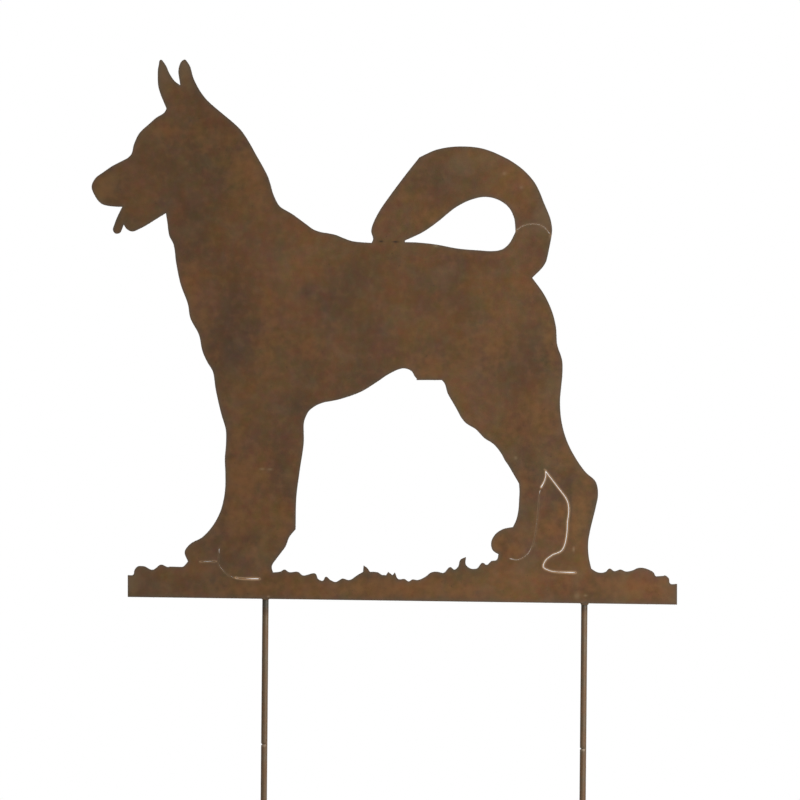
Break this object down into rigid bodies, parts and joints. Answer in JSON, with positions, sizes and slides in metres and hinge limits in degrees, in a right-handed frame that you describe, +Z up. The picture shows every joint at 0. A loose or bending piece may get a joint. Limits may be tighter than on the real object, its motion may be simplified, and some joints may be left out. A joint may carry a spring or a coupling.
{
  "type": "sheet-steel dog silhouette garden stake",
  "caption": "Flat rusted-steel silhouette of a standing dog with pricked ears and a curled tail on a grassy ground strip, pushed into the soil on round stakes.",
  "frame": {"origin": "middle of the ground strip's underside, at mid-thickness of the sheet, where the soil's surface is when the stakes are pushed home", "axes": "+Z up along the stakes; +X from the dog's nose towards its tail; +Y through the sheet, from its front face to the side that the stakes are welded to"},
  "size_m": [0.5919, 0.0087, 0.8339],
  "materials": {
    "rusted_sheet": "flat sheet steel under an even, matt brown rust patina, mottled with darker grey-brown and orange-brown patches",
    "rusted_rod": "drawn round steel rod with a thin, slightly smoother grey-brown rust"
  },
  "bodies": {
    "root": {"dog_silhouette_sheet": "rusted_sheet", "left_stake_rod": "rusted_rod", "left_ground_spike": "rusted_rod", "right_stake_rod": "rusted_rod", "right_ground_spike": "rusted_rod"}
  },
  "joints": []
}
